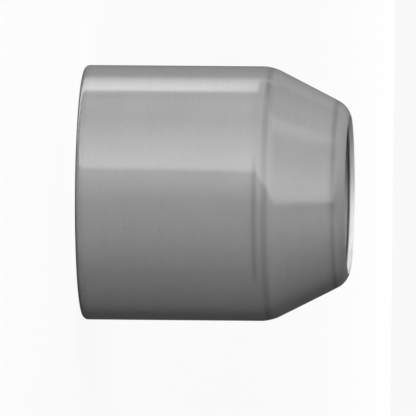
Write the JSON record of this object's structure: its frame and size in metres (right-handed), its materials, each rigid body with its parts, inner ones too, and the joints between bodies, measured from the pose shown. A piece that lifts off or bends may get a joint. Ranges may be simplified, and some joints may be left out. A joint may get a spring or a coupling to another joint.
{
  "type": "plasma torch shield cup",
  "caption": "Plasma torch shield cup: a straight barrel, threaded inside at the rear, that tapers to a rounded nose with a wide round opening.",
  "frame": {"origin": "centre of the rear rim, on which the cup stands", "axes": "+Z along the cup's axis, from the threaded rear towards the nose"},
  "size_m": [0.0296, 0.0296, 0.0311],
  "materials": {
    "fired_ceramic": "satin"
  },
  "bodies": {
    "root": {"shield_cup": "fired_ceramic"}
  },
  "joints": []
}
